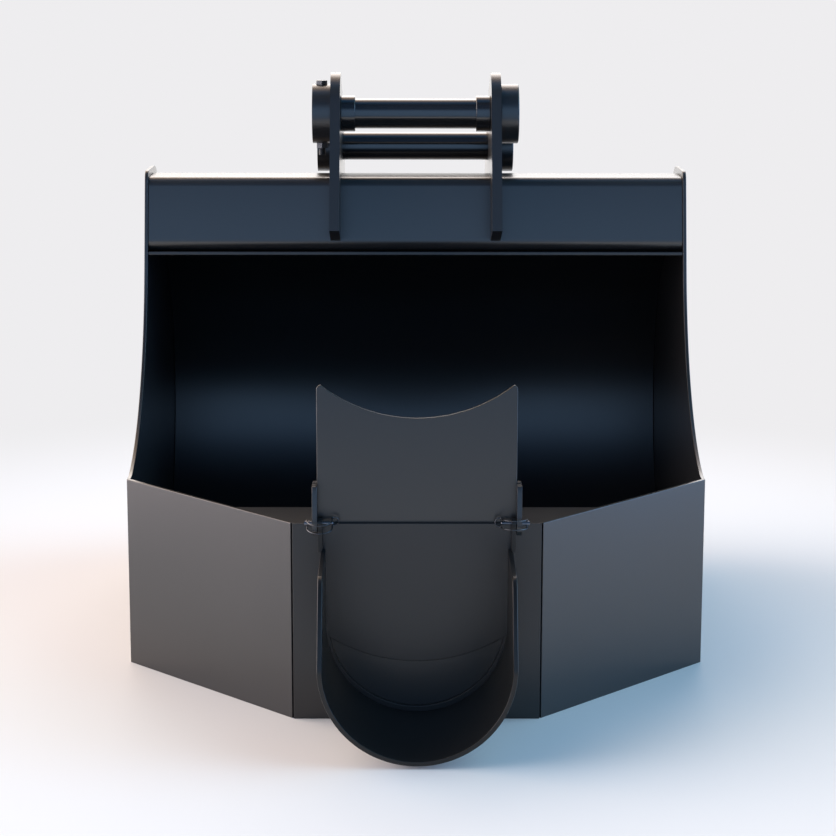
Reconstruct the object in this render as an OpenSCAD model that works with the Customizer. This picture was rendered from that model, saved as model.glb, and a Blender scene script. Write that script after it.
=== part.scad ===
// Concrete pouring bucket for a digger arm. A wide scoop with a folded-in front carries a
// sliding gate and a half-round pouring chute that hangs on two lock pins.
// Lengths are in millimetres. Y is counted from the front face of the centre panel, towards
// the back, and placed() then moves everything so that the origin is under the middle.

/* [Bucket] */
// Width over the side plates
bucket_w = 915.5; // [860:1:980]
// Height of the centre panel and the wings
front_h = 302; // [290:1:320]
// Width of the centre panel
panel_w = 368; // [350:1:390]
// Angle between the centre panel and a wing
wing_angle = 45.5; // [40:0.5:48]
// Thickness of the bucket's plates
plate_t = 6; // [5:0.5:8]
// Width of the open groove between the centre panel and a wing
wing_groove = 2.5; // [1.5:0.5:4]
// Depth of the deck behind the top of the front wall
deck_l = 107; // [95:1:115]
// How far the deck lies below the top of the front wall
deck_drop = 2; // [0:0.5:4]

/* [Shell] */
// Distance from the centre panel to the middle of the heel curve
heel_y = 743; // [700:1:780]
// Inner radius of the shell at the heel
heel_r = 315; // [300:1:330]
// Inner radius of the shell at the crown
crown_r = 270; // [255:1:285]
// Slope of the shell's roof, rising towards the front
crown_tilt = 5.8; // [4:0.1:7]

/* [Side plates] */
// Length of the level stretch behind the wing
side_level_l = 27; // [20:0.5:40]
// Radius of the side plate's front curve
side_curve_r = 390; // [380:1:400]
// Slope at which the front curve starts
side_curve_start = 11.5; // [8:0.5:14]
// Slope at which the front curve ends
side_curve_end = 75.5; // [74:0.5:77]
// How far the side plates stand above the beam
side_rise = 10.5; // [4:0.5:20]
// How far the side plates reach behind the beam
side_back_l = 30; // [10:1:60]
// Radius of the side plate's front top corner
side_corner_r = 20; // [10:1:30]
// Radius of the side plate's back top corner
side_back_r = 60; // [40:1:80]

/* [Top beam] */
// Height of the beam's top face
beam_top_z = 738; // [730:1:745]
// Depth of the beam at its top
beam_w = 110; // [100:1:125]
// Fall of the beam's top and the side plates' tops towards the back, in degrees
top_slope = 1.8; // [0:0.1:4]
// Wall thickness of the beam
beam_wall = 8; // [6:0.5:10]
// Outer radius of the beam's corners
beam_corner_r = 20; // [16:1:24]
// How far the beam lies behind the side plates' front edges
beam_inset = 1; // [0.5:0.5:4]
// Gap under the beam that its weld fills
beam_seat = 0.02; // [0.01:0.01:0.1]

/* [Hanger] */
// Clear width between the two ears
ear_gap = 253.5; // [240:0.5:264]
// Thickness of an ear
ear_t = 16.5; // [14:0.5:20]
// Distance of the dipper pin behind the beam's top front edge
dipper_back = 39; // [30:1:46]
// Height of the dipper pin above the beam
dipper_rise = 104; // [98:1:110]
// Distance of the link pin behind the dipper pin
link_back = 127; // [120:1:134]
// How far the link pin lies below the dipper pin
link_drop = 68; // [64:1:76]
// Radius of the ear around the dipper pin
ear_nose_r = 69; // [62:1:74]
// Radius of the ear's back corner
ear_back_r = 100; // [92:1:104]
// Distance of the ear's back corner behind the link pin
ear_corner_back = 39; // [34:1:44]
// How far the middle of the ear's back corner lies below the link pin
ear_corner_drop = 39; // [34:1:44]
// Lean of the ear's front edge
ear_lean = 23.5; // [21:0.5:25]
// How far the ear's lower front tip lies below the beam's top
ear_tip_drop = 75.5; // [68:0.5:80]
// Slope of the ear's lower edge, falling towards the beam
ear_cut_slope = 18; // [10:1:24]
// Angle on the shell's crown where an ear's back foot ends
ear_foot_angle = 32; // [28:1:36]

/* [Pins and collars] */
// Diameter of the dipper pin
dipper_pin_d = 50; // [45:1:52]
// Diameter of the link pin
link_pin_d = 48; // [45:1:50]
// Radial play of a pin in its ears and collars
pin_play = 0.05; // [0.02:0.01:0.1]
// Diameter of the dipper pin's outer collars
dipper_collar_d = 100; // [92:1:106]
// Length of the dipper pin's outer collars
dipper_collar_l = 31; // [28:1:35]
// Diameter of the spacers on the dipper pin
spacer_d = 60; // [58:1:66]
// Length of a spacer
spacer_l = 24.5; // [20:0.5:30]
// Diameter of the link pin's outer collars
link_collar_d = 87; // [80:1:92]
// Length of the link pin's outer collars
link_collar_l = 27; // [25:1:31]
// Diameter of the bolts that keep the pins from turning
bolt_d = 12; // [10:1:13]
// Width across the flats of a bolt head and nut
bolt_af = 18; // [18:1:21]
// Height of a bolt head
bolt_head_h = 7.5; // [6:0.5:9]
// Height of a nut
nut_h = 9.5; // [8:0.5:11]
// Length of bolt that stands out of its nut
bolt_tail_l = 12; // [8:1:16]
// Depth of the flat seats cut for a bolt head and nut
bolt_seat = 1.5; // [1:0.5:2]
// Radial play of a bolt in its hole
bolt_play = 0.3; // [0.2:0.1:0.5]
// Tilt of the link pin's bolt from upright, head towards the front
link_bolt_tilt = 45; // [35:1:55]

/* [Outlet and gate] */
// How far the outlet's lower edge stands inside the chute's wall
outlet_ledge = 3.5; // [1:0.5:8]
// How far the outlet lies above the chute's round bottom
outlet_rise = 5; // [3:0.5:8]
// Radius of the outlet's upper edge
outlet_top_r = 243; // [235:1:250]
// Lowest height of the outlet's upper edge
outlet_top_z = 90; // [80:1:98]
// Thickness of the gate plate
gate_t = 6; // [5:0.5:8]
// How far the gate's edges reach behind the lugs
gate_lap = 0.8; // [0.4:0.1:1.5]
// How far the gate's lower part reaches into a guide on each side
gate_shoulder = 4.3; // [4:0.1:6]
// How far the gate's tips stand above the front wall
gate_rise = 206; // [190:1:220]
// How far the top of the gate's wide part lies below the front wall's top
gate_shoulder_drop = 17; // [14:1:30]
// Radius of the gate's hollow top edge
gate_arc_r = 228; // [222:1:250]
// Radius on the gate's tips
gate_tip_r = 6; // [4:1:8]
// Gap between the gate and what it slides on
gate_play = 0.6; // [0.4:0.1:1]
// Thickness of a gate rail behind the gate
rail_t = 6; // [5:0.5:8]
// Width of a gate rail
rail_w = 26; // [22:1:28]
// How far a gate rail covers the gate's edge
rail_cover = 12; // [8:1:14]

/* [Lugs] */
// Thickness of a lug
lug_t = 7.5; // [6:0.5:8]
// How far the lugs stand above the front wall
lug_rise = 59; // [50:1:66]
// How far a lug reaches down the front wall
lug_drop = 15; // [10:1:24]
// Size of the bevel on a lug's top
lug_bevel = 11; // [8:1:12]
// Size of the bevel under a lug
lug_foot_bevel = 7.5; // [5:0.5:10]
// How far the guide plates reach behind the gate
guide_l = 22; // [18:1:28]

/* [Chute] */
// Outer radius of the chute
chute_r = 141.5; // [138:0.5:143]
// Height of the chute above the ground
chute_lift = 4.5; // [3:0.5:8]
// Wall thickness of the chute
chute_t = 7; // [6:0.5:8]
// Length of the chute at its bottom
chute_l = 220; // [200:1:240]
// Length of the chute's side walls at their top
chute_top_l = 158; // [140:1:170]
// How far the chute's side walls end below the front wall's top
chute_drop = 39; // [32:1:45]
// Radius of the side wall's upper front corner
chute_corner_r = 24; // [16:1:30]
// Gap between the hanging chute and the centre panel
chute_gap = 0.5; // [0.4:0.1:1]
// Thickness of a chute ear
chute_ear_t = 6.5; // [6:0.5:8]
// Half width of a chute ear, which is also the radius of its top corners
chute_ear_r = 9.5; // [9:0.1:9.5]
// How far a chute ear stands out past the side wall
chute_ear_shift = 4; // [3:0.5:4.5]
// Gap between a chute ear and its lug
chute_ear_gap = 1; // [0.4:0.1:1.4]
// How far the lock pins lie above the front wall's top
hang_rise = 3; // [0:0.5:4]
// How far a chute ear stands above the middle of its lock pin
chute_ear_top = 5.5; // [5:0.5:9]

/* [Lock pins] */
// Diameter of a lock pin
lock_d = 5; // [4:0.5:5.5]
// Radial play of a lock pin in its holes
lock_play = 0.08; // [0.04:0.01:0.1]
// Length of a lock pin inboard of its chute ear
lock_tip_l = 16; // [14:1:16]
// Diameter of a lock pin's head
lock_head_d = 7; // [6.5:0.5:8]
// Length of a lock pin's head
lock_head_l = 11; // [10:1:12]
// Gap between a lock pin's head and its lug
lock_head_gap = 0.6; // [0.4:0.1:1]
// Diameter of the lock wire
wire_d = 2; // [1.8:0.1:2.2]
// Gap between the two strands of a lock wire, centre to centre
wire_pitch = 13; // [11:0.5:14]
// Distance of the wire's hole from the outer end of the lock pin
wire_inset = 4; // [3:0.5:5]
// Radius of a lock wire's bow in front of the plates
wire_bow_r = 18.5; // [18:0.5:20.5]
// How far a lock wire's eye lies behind the lock pin
wire_set_back = 6; // [3:0.5:6]
// How far the left lock wire hangs down from level
wire_droop_left = 14; // [0:1:32]
// How far the right lock wire hangs down from level
wire_droop_right = -4; // [-5:1:32]

/* [Hidden] */

left = -1;
right = 1;

// Steps round a full circle on large, middling and small curves
fine = 180;
middling = 72;
coarse = 36;
// Angle between the points of a rounded corner
corner_step = 10;
// Length by which a cutting shape reaches past what it cuts
past = 20;

// The front wall
half_w = bucket_w / 2;
half_panel = panel_w / 2;
wing_run = (half_w - half_panel) * tan(wing_angle);
wing_dir = [cos(wing_angle), sin(wing_angle)];
side_y = (half_w - plate_t - half_panel) * tan(wing_angle) + plate_t / cos(wing_angle);
inner_w = bucket_w - 2 * plate_t;

// The shell, whose heel and crown curves meet at the back
curve_z = heel_r + plate_t;
crown_y = heel_y + heel_r - crown_r;
crown_mid = [crown_y, curve_z];
back_y = heel_y + heel_r + plate_t;
mid_y = (back_y - chute_gap - chute_l) / 2;
roof_dir = [-cos(crown_tilt), sin(crown_tilt)];
roof_up = [sin(crown_tilt), cos(crown_tilt)];

// The side plate's front edge: level, curved, then straight and leaning back
curve_a = [side_y + side_level_l, front_h];
curve_mid = curve_a + side_curve_r * [-sin(side_curve_start), cos(side_curve_start)];
curve_b = curve_mid + side_curve_r * [sin(side_curve_end), -cos(side_curve_end)];
lean_dir = [cos(side_curve_end), sin(side_curve_end)];
lean_in = [sin(side_curve_end), -cos(side_curve_end)];

side_top_z = beam_top_z + side_rise;

// The beam, between the leaning front line and the shell's roof
beam_front = curve_b + lean_in * beam_inset;
beam_top_front = crossing(beam_front, lean_dir, [0, beam_top_z], [1, 0]);
beam_low_front = crossing(beam_front, lean_dir, roof_point(plate_t + beam_seat, 0), roof_dir);
beam_back_y = beam_top_front.x + beam_w;
beam_low_back = crossing([beam_back_y, 0], [0, 1], roof_point(plate_t + beam_seat, 0), roof_dir);
beam_top_back = [beam_back_y, beam_top_z - beam_w * tan(top_slope)];
beam_corners = [beam_low_front, beam_low_back, beam_top_back, beam_top_front];

// The hanger
ear_in = ear_gap / 2;
ear_out = ear_in + ear_t;
dipper_at = beam_top_front + [dipper_back, dipper_rise];
link_at = dipper_at + [link_back, -link_drop];
ear_back_at = link_at + [ear_corner_back, -ear_corner_drop];
ear_tip_z = beam_top_z - ear_tip_drop;
dipper_half_l = ear_out + dipper_collar_l;
link_half_l = ear_out + link_collar_l;
dipper_bolt_x = ear_out + dipper_collar_l / 2;
link_bolt_x = ear_out + link_collar_l / 2;

// The chute, its outlet and its hanging point
chute_z = chute_lift + chute_r;
chute_in_r = chute_r - chute_t;
chute_top_z = front_h - chute_drop;
outlet_r = chute_in_r - outlet_ledge;
outlet_z = chute_z + outlet_rise;
chute_ear_out = chute_r + chute_ear_shift;
chute_ear_in = chute_ear_out - chute_ear_t;
lug_x = chute_ear_out + chute_ear_gap;
lug_out = lug_x + lug_t;
lug_top_z = front_h + lug_rise;
lug_foot_z = front_h - lug_drop;
hang_y = -chute_gap - chute_ear_r;
hang_z = front_h + hang_rise;
lug_front_y = hang_y - chute_ear_r;

// The gate, which slides behind the panel and the lugs
gate_y = plate_t + gate_play;
gate_back_y = gate_y + gate_t + gate_play;
gate_foot_z = plate_t + gate_play;
gate_half = lug_x + gate_lap;
gate_wide = gate_half + gate_shoulder;
gate_h = front_h + gate_rise;
gate_shoulder_z = front_h - gate_shoulder_drop;
guide_x = gate_wide + gate_play;
deck_top_z = front_h - deck_drop;
deck_low_z = deck_top_z - plate_t;

// The lock pins and their wires
lock_head_x = lug_out + lock_head_gap;
lock_tip_x = chute_ear_in - lock_tip_l;
wire_x = lock_head_x + lock_head_l - wire_inset;
wire_bend_r = (wire_pitch - lock_head_d) / 2;

function unit(v) = v / norm(v);
function heading(v) = atan2(v.y, v.x);
function toward(angle) = [cos(angle), sin(angle)];
// Point where the line through p along d meets the line through q along e
function crossing(p, d, q, e) = p + d * cross(q - p, e) / cross(d, e);
// Point on the roof line, out by grow from the shell's inner face and ahead of its curve
function roof_point(grow, ahead) = crown_mid + roof_up * (crown_r + grow) + roof_dir * ahead;
// Points of the arc about mid from one angle to another
function arc(mid, r, from, to) =
  let(steps = max(2, ceil(abs(to - from) / corner_step)))
  [for (i = [0:steps]) mid + r * toward(from + (to - from) * i / steps)];
// Points that round the convex corner b of a counterclockwise outline, inset by cut
function rounded_corner(a, b, c, r, cut) =
  let(back = unit(a - b), ahead = unit(c - b),
      mid = b + unit(back + ahead) * r / sin(acos(back * ahead) / 2),
      from = heading([-back.y, back.x]),
      turn = 180 - acos(back * ahead))
  arc(mid, r - cut, from, from + turn);
// A convex counterclockwise outline with all its corners rounded
function rounded_outline(points, r, cut = 0) =
  let(n = len(points))
  [for (i = [0:n - 1]) each rounded_corner(points[(i + n - 1) % n], points[i], points[(i + 1) % n], r, cut)];
// Outward direction of the line that touches circle 1 and then circle 2 from above
function shared_tangent(mid_1, r_1, mid_2, r_2) =
  heading(mid_2 - mid_1) + acos((r_1 - r_2) / norm(mid_2 - mid_1));
// Outward direction of a line from point p that touches a circle, counterclockwise of p for
// a turn of 1 and clockwise for -1
function tangent_from(p, mid, r, turn) = heading(p - mid) + turn * acos(r / norm(p - mid));
// Half width between the wings' inner faces at a distance y behind the panel's front
function between_wings(y) = half_panel + (y - plate_t / cos(wing_angle)) / tan(wing_angle);

module placed() {
  translate([0, -mid_y, 0]) children();
}

module on_side(side) {
  if (side == left) mirror([1, 0, 0]) children();
  else children();
}

// Extrudes an outline drawn in Y and Z along X
module along_x(from, to) {
  translate([from, 0, 0]) rotate([90, 0, 90]) linear_extrude(to - from) children();
}

// Extrudes an outline drawn in X and Z backwards along Y
module along_y(from, to) {
  translate([0, to, 0]) rotate([90, 0, 0]) linear_extrude(to - from) children();
}

// A round bar along X, centred on a place in Y and Z
module bar_x(at, d, from, to, steps = middling) {
  translate([from, at.x, at.y]) rotate([0, 90, 0]) cylinder(d = d, h = to - from, $fn = steps);
}

// The space inside the shell, grown by grow and reaching ahead of its two front edges
module shell_space(grow, ahead) {
  lip = crossing(roof_point(grow, 0), roof_dir, beam_low_front, [0, 1]) + roof_dir * ahead;
  intersection() {
    translate([heel_y, curve_z]) circle(r = heel_r + grow, $fn = fine);
    translate([heel_y, curve_z - heel_r - grow]) square(heel_r + grow);
  }
  intersection() {
    translate(crown_mid) circle(r = crown_r + grow, $fn = fine);
    translate(crown_mid) square(crown_r + grow);
  }
  polygon([
    [side_y - ahead, plate_t - grow], [heel_y, plate_t - grow], [heel_y, curve_z],
    crown_mid, roof_point(grow, 0), lip, lip - [0, 2 * plate_t], [side_y - ahead, 3 * plate_t]
  ]);
}

module beam_outline(cut = 0) {
  polygon(rounded_outline(beam_corners, beam_corner_r, cut));
}

// A strip across the seam between the beam and the roof, from one rounded corner to the other
module beam_seam() {
  front = beam_low_front - roof_dir * beam_corner_r;
  back = beam_low_back + roof_dir * beam_corner_r;
  half = roof_up * plate_t / 2;
  polygon([front - half, back - half, back + half, front + half]);
}

module centre_panel() {
  placed() color([0.24, 0.24, 0.26]) difference() {
    translate([-half_panel, 0, 0]) cube([panel_w, plate_t, front_h]);
    along_y(-past, plate_t + past) difference() {
      translate([0, outlet_z]) circle(r = outlet_r, $fn = fine);
      translate([0, outlet_top_z + outlet_top_r]) circle(r = outlet_top_r, $fn = fine);
    }
  }
}

module wing(side) {
  start = [half_panel, 0] + wing_dir * wing_groove / wing_dir.x;
  heel = between_wings(plate_t);
  placed() on_side(side) color([0.3, 0.3, 0.32]) linear_extrude(front_h) polygon([
    start, [half_w, wing_run], [half_w, side_y], [half_w - plate_t, side_y],
    [heel, plate_t], [half_panel, plate_t]
  ]);
}

module front_floor() {
  placed() color([0.2, 0.2, 0.22]) linear_extrude(plate_t) polygon([
    [-between_wings(plate_t), plate_t], [between_wings(plate_t), plate_t],
    [between_wings(side_y), side_y], [-between_wings(side_y), side_y]
  ]);
}

module deck_plate() {
  placed() color([0.42, 0.38, 0.35]) translate([0, 0, deck_low_z]) linear_extrude(plate_t) difference() {
    polygon([
      [-between_wings(plate_t), plate_t], [between_wings(plate_t), plate_t],
      [between_wings(deck_l), deck_l], [-between_wings(deck_l), deck_l]
    ]);
    translate([-guide_x, 0]) square([2 * guide_x, gate_back_y]);
  }
}

module side_plate(side) {
  top_front = crossing(curve_b, lean_dir, [0, side_top_z], [1, 0]);
  top_back_y = beam_back_y + side_back_l;
  top_back = [top_back_y, side_top_z - (top_back_y - top_front.x) * tan(top_slope)];
  shell_r = crown_r + plate_t;
  foot = crown_mid + shell_r * toward(tangent_from(top_back, crown_mid, shell_r, -1));
  placed() on_side(side) color([0.26, 0.26, 0.28]) along_x(half_w - plate_t, half_w) difference() {
    union() {
      translate([heel_y, curve_z]) intersection() {
        circle(r = curve_z, $fn = fine);
        translate([0, -curve_z]) square(curve_z);
      }
      translate(crown_mid) intersection() {
        circle(r = shell_r, $fn = fine);
        square(shell_r);
      }
      polygon(concat(
        [[side_y, 0], [heel_y, 0], [heel_y, curve_z], crown_mid, foot],
        rounded_corner(foot, top_back, top_front, side_back_r, 0),
        rounded_corner(top_back, top_front, curve_b, side_corner_r, 0),
        [curve_b, curve_a, [side_y, front_h]]
      ));
    }
    intersection() {
      translate(curve_mid) circle(r = side_curve_r, $fn = fine);
      translate([curve_a.x, 0]) square(side_top_z);
    }
  }
}

module wrapper_shell() {
  placed() color([0.22, 0.22, 0.24]) along_x(-inner_w / 2, inner_w / 2) difference() {
    shell_space(plate_t, 0);
    shell_space(0, past);
  }
}

module top_beam() {
  placed() color([0.2, 0.23, 0.28]) along_x(-inner_w / 2, inner_w / 2) difference() {
    beam_outline();
    beam_outline(beam_wall);
  }
}

module hanger_ear(side) {
  front_out = 180 - ear_lean;
  front_touch = dipper_at + ear_nose_r * toward(front_out);
  edge_dir = [sin(ear_lean), cos(ear_lean)];
  tip = crossing(front_touch, edge_dir, [0, ear_tip_z], [1, 0]);
  cut_dir = [cos(ear_cut_slope), -sin(ear_cut_slope)];
  end = crossing(tip, cut_dir, beam_front + lean_in * beam_corner_r, lean_dir);
  top_out = shared_tangent(dipper_at, ear_nose_r, ear_back_at, ear_back_r);
  foot = crown_mid + (crown_r + plate_t / 2) * toward(ear_foot_angle);
  back_out = tangent_from(foot, ear_back_at, ear_back_r, 1);
  placed() on_side(side) color([0.25, 0.25, 0.27]) difference() {
    union() {
      along_x(ear_in, ear_out) translate(dipper_at) circle(r = ear_nose_r, $fn = fine);
      along_x(ear_in, ear_out) translate(ear_back_at) circle(r = ear_back_r, $fn = fine);
      along_x(ear_in, ear_out) polygon([
        tip, front_touch, dipper_at + ear_nose_r * toward(top_out),
        ear_back_at + ear_back_r * toward(top_out), ear_back_at + ear_back_r * toward(back_out),
        foot, crown_mid, end
      ]);
    }
    along_x(ear_in - past, ear_out + past) beam_outline();
    along_x(ear_in - past, ear_out + past) beam_seam();
    along_x(ear_in - past, ear_out + past) shell_space(plate_t, 0);
    bar_x(dipper_at, dipper_pin_d + 2 * pin_play, 0, half_w);
    bar_x(link_at, link_pin_d + 2 * pin_play, 0, half_w);
  }
}

// A round ring on a pin, from one distance off the middle to another
module pin_ring(side, at, pin_d, d, from, to) {
  placed() on_side(side) difference() {
    bar_x(at, d, from, to);
    bar_x(at, pin_d + 2 * pin_play, from - past, to + past);
  }
}

// Moves to the middle of a pin's bolt on the left, turned so that its head points up and ahead
module at_bolt(at, x, tilt) {
  placed() translate([-x, at.x, at.y]) rotate([tilt, 0, 0]) children();
}

// What a bolt's hole and flat seats take away from a collar or a pin of radius r
module bolt_cut(r) {
  cylinder(d = bolt_d + 2 * bolt_play, h = 4 * r, center = true, $fn = middling);
  for (end = [0, 180]) rotate([end, 0, 0]) translate([0, 0, r - bolt_seat])
    cylinder(d = bolt_af / cos(30) + 1, h = past, $fn = middling);
}

module dipper_collar(side) {
  color([0.26, 0.27, 0.3]) difference() {
    pin_ring(side, dipper_at, dipper_pin_d, dipper_collar_d, ear_out, dipper_half_l);
    if (side == left) at_bolt(dipper_at, dipper_bolt_x, 0) bolt_cut(dipper_collar_d / 2);
  }
}

module link_collar(side) {
  color([0.26, 0.27, 0.3]) difference() {
    pin_ring(side, link_at, link_pin_d, link_collar_d, ear_out, link_half_l);
    if (side == left) at_bolt(link_at, link_bolt_x, link_bolt_tilt) bolt_cut(link_collar_d / 2);
  }
}

module dipper_spacer(side) {
  color([0.3, 0.31, 0.34]) pin_ring(side, dipper_at, dipper_pin_d, spacer_d, ear_in - spacer_l, ear_in);
}

// A pin through both ears, drilled across for its bolt
module hanger_pin(at, d, half_l, bolt_x, tilt) {
  color([0.28, 0.3, 0.34]) difference() {
    placed() bar_x(at, d, -half_l, half_l);
    at_bolt(at, bolt_x, tilt)
      cylinder(d = bolt_d + 2 * bolt_play, h = 2 * d, center = true, $fn = middling);
  }
}

// A hexagon bolt through a collar of radius r
module pin_bolt(at, x, tilt, r) {
  seat = r - bolt_seat;
  tail = seat + nut_h + bolt_tail_l;
  color([0.5, 0.52, 0.55]) at_bolt(at, x, tilt) {
    translate([0, 0, seat]) rotate(30) cylinder(d = bolt_af / cos(30), h = bolt_head_h, $fn = 6);
    translate([0, 0, -tail]) cylinder(d = bolt_d, h = tail + seat, $fn = middling);
  }
}

module pin_nut(at, x, tilt, r) {
  color([0.5, 0.52, 0.55]) at_bolt(at, x, tilt) translate([0, 0, bolt_seat - r - nut_h]) difference() {
    rotate(30) cylinder(d = bolt_af / cos(30), h = nut_h, $fn = 6);
    translate([0, 0, -past]) cylinder(d = bolt_d + 2 * pin_play, h = nut_h + 2 * past, $fn = middling);
  }
}

// An angle behind the panel that keeps the gate's edge against it
module gate_rail(side) {
  placed() on_side(side) color([0.22, 0.22, 0.24]) translate([0, 0, plate_t])
    linear_extrude(deck_low_z - plate_t) polygon([
      [guide_x, plate_t], [guide_x + rail_w - rail_cover, plate_t],
      [guide_x + rail_w - rail_cover, gate_back_y + rail_t], [guide_x - rail_cover, gate_back_y + rail_t],
      [guide_x - rail_cover, gate_back_y], [guide_x, gate_back_y]
    ]);
}

// The plate on the deck that backs the gate's shoulder
module gate_guide(side) {
  placed() on_side(side) color([0.28, 0.29, 0.32]) along_x(lug_x, lug_out) polygon([
    [gate_back_y, deck_top_z], [gate_back_y + guide_l, deck_top_z],
    [gate_back_y + guide_l, lug_top_z - lug_bevel], [gate_back_y + guide_l - lug_bevel, lug_top_z],
    [gate_back_y, lug_top_z]
  ]);
}

// The plate on the front wall that carries the chute's lock pin
module chute_lug(side) {
  placed() on_side(side) color([0.28, 0.29, 0.32]) difference() {
    along_x(lug_x, lug_out) polygon([
      [0, lug_foot_z], [0, front_h], [plate_t, front_h], [plate_t, lug_top_z],
      [lug_front_y + lug_bevel / 2, lug_top_z], [lug_front_y, lug_top_z - lug_bevel],
      [lug_front_y, lug_foot_z + lug_foot_bevel], [lug_front_y + lug_foot_bevel, lug_foot_z]
    ]);
    bar_x([hang_y, hang_z], lock_d + 2 * lock_play, lug_x - past, lug_out + past);
  }
}

module gate_plate() {
  arc_z = gate_h + sqrt(pow(gate_arc_r, 2) - pow(gate_half - gate_tip_r, 2));
  placed() color([0.27, 0.27, 0.29]) along_y(gate_y, gate_y + gate_t) difference() {
    union() {
      translate([-gate_wide, gate_foot_z]) square([2 * gate_wide, gate_shoulder_z - gate_foot_z]);
      polygon(rounded_outline([
        [-gate_half, gate_foot_z], [gate_half, gate_foot_z], [gate_half, gate_h], [-gate_half, gate_h]
      ], gate_tip_r));
    }
    translate([0, arc_z]) circle(r = gate_arc_r, $fn = fine);
  }
}

// One half of the trough, with its straight side wall. The halves meet in a bottom seam.
module chute_half(side) {
  front_y = -chute_gap - chute_l;
  low_front = [front_y, chute_z];
  top_front = [-chute_gap - chute_top_l, chute_top_z];
  top_back = [-chute_gap, chute_top_z];
  placed() on_side(side) color([0.2, 0.21, 0.24]) intersection() {
    along_y(front_y, -chute_gap) difference() {
      union() {
        intersection() {
          translate([0, chute_z]) circle(r = chute_r, $fn = fine);
          translate([0, chute_z - chute_r]) square(chute_r);
        }
        translate([0, chute_z]) square([chute_r, chute_top_z - chute_z]);
      }
      translate([0, chute_z]) circle(r = chute_in_r, $fn = fine);
      translate([-past, chute_z]) square([chute_in_r + past, chute_top_z]);
    }
    along_x(-past, chute_r + past) polygon(concat(
      [[front_y, 0], [-chute_gap, 0], top_back],
      rounded_corner(top_back, top_front, low_front, chute_corner_r, 0),
      [low_front]
    ));
  }
}

// A flat bar on the chute wall's top edge, with the hole for the lock pin
module chute_ear(side) {
  placed() on_side(side) color([0.28, 0.29, 0.32]) difference() {
    along_x(chute_ear_in, chute_ear_out) {
      translate([hang_y, hang_z]) intersection() {
        circle(r = chute_ear_r, $fn = middling);
        translate([-chute_ear_r, -chute_ear_r]) square([2 * chute_ear_r, chute_ear_r + chute_ear_top]);
      }
      translate([hang_y - chute_ear_r, chute_top_z]) square([2 * chute_ear_r, hang_z - chute_top_z]);
    }
    bar_x([hang_y, hang_z], lock_d + 2 * lock_play, chute_ear_in - past, chute_ear_out + past);
  }
}

// Moves to a lock pin's head: X then runs outboard along the pin
module at_lock(side) {
  droop = side == left ? wire_droop_left : wire_droop_right;
  placed() on_side(side) translate([0, hang_y, hang_z]) rotate([droop, 0, 0]) children();
}

module lock_pin(side) {
  tip_l = lock_d / 4;
  at_lock(side) color([0.6, 0.62, 0.66]) difference() {
    union() {
      bar_x([0, 0], lock_d, lock_tip_x + tip_l, lock_head_x, coarse);
      bar_x([0, 0], lock_head_d, lock_head_x, lock_head_x + lock_head_l, coarse);
      translate([lock_tip_x, 0, 0]) rotate([0, 90, 0])
        cylinder(r1 = lock_d / 2 - tip_l, r2 = lock_d / 2, h = tip_l, $fn = coarse);
    }
    translate([wire_x, 0, 0])
      cylinder(d = wire_d + 2 * lock_play, h = 2 * lock_head_d, center = true, $fn = coarse);
  }
}

// Part of a ring of lock wire, lying in X and Y
module wire_arc(r, angle) {
  rotate_extrude(angle = angle, $fn = middling) translate([r, 0]) circle(d = wire_d, $fn = coarse);
}

// Spring wire: two bows in front of the plates, joined by an eye round the pin's tip
module lock_wire(side) {
  half_pitch = wire_pitch / 2;
  straight = wire_pitch - 2 * wire_bend_r;
  bow_end = -2 * wire_bow_r;
  at_lock(side) color([0.55, 0.58, 0.62]) translate([wire_x, 0, 0]) {
    cylinder(d = wire_d, h = straight, center = true, $fn = coarse);
    for (level = [-1, 1]) {
      translate([0, -wire_bend_r, level * straight / 2])
        rotate([0, 90, 0]) rotate([0, 0, level > 0 ? 90 : 0]) wire_arc(wire_bend_r, 90);
      translate([-wire_bow_r, -wire_bend_r, level * half_pitch]) rotate([0, 0, 180])
        wire_arc(wire_bow_r, 180);
      translate([bow_end, -wire_bend_r, level * half_pitch]) rotate([-90, 0, 0])
        cylinder(d = wire_d, h = wire_set_back, $fn = coarse);
      translate([bow_end - wire_bend_r, wire_set_back - wire_bend_r, level * half_pitch])
        wire_arc(wire_bend_r, 90);
    }
    translate([bow_end - wire_bend_r, wire_set_back, 0]) rotate([90, 0, 0]) rotate([0, 0, 90])
      wire_arc(half_pitch, 180);
  }
}

centre_panel();
wing(left);  // wing_left
wing(right);  // wing_right
front_floor();
deck_plate();
side_plate(left);  // side_plate_left
side_plate(right);  // side_plate_right
wrapper_shell();
top_beam();
hanger_ear(left);  // hanger_ear_left
hanger_ear(right);  // hanger_ear_right
dipper_collar(left);  // dipper_collar_left
dipper_collar(right);  // dipper_collar_right
dipper_spacer(left);  // dipper_spacer_left
dipper_spacer(right);  // dipper_spacer_right
link_collar(left);  // link_collar_left
link_collar(right);  // link_collar_right
hanger_pin(dipper_at, dipper_pin_d, dipper_half_l, dipper_bolt_x, 0);  // dipper_pin
hanger_pin(link_at, link_pin_d, link_half_l, link_bolt_x, link_bolt_tilt);  // link_pin
pin_bolt(dipper_at, dipper_bolt_x, 0, dipper_collar_d / 2);  // dipper_pin_bolt
pin_nut(dipper_at, dipper_bolt_x, 0, dipper_collar_d / 2);  // dipper_pin_nut
pin_bolt(link_at, link_bolt_x, link_bolt_tilt, link_collar_d / 2);  // link_pin_bolt
pin_nut(link_at, link_bolt_x, link_bolt_tilt, link_collar_d / 2);  // link_pin_nut
gate_rail(left);  // gate_rail_left
gate_rail(right);  // gate_rail_right
gate_guide(left);  // gate_guide_left
gate_guide(right);  // gate_guide_right
chute_lug(left);  // chute_lug_left
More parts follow.
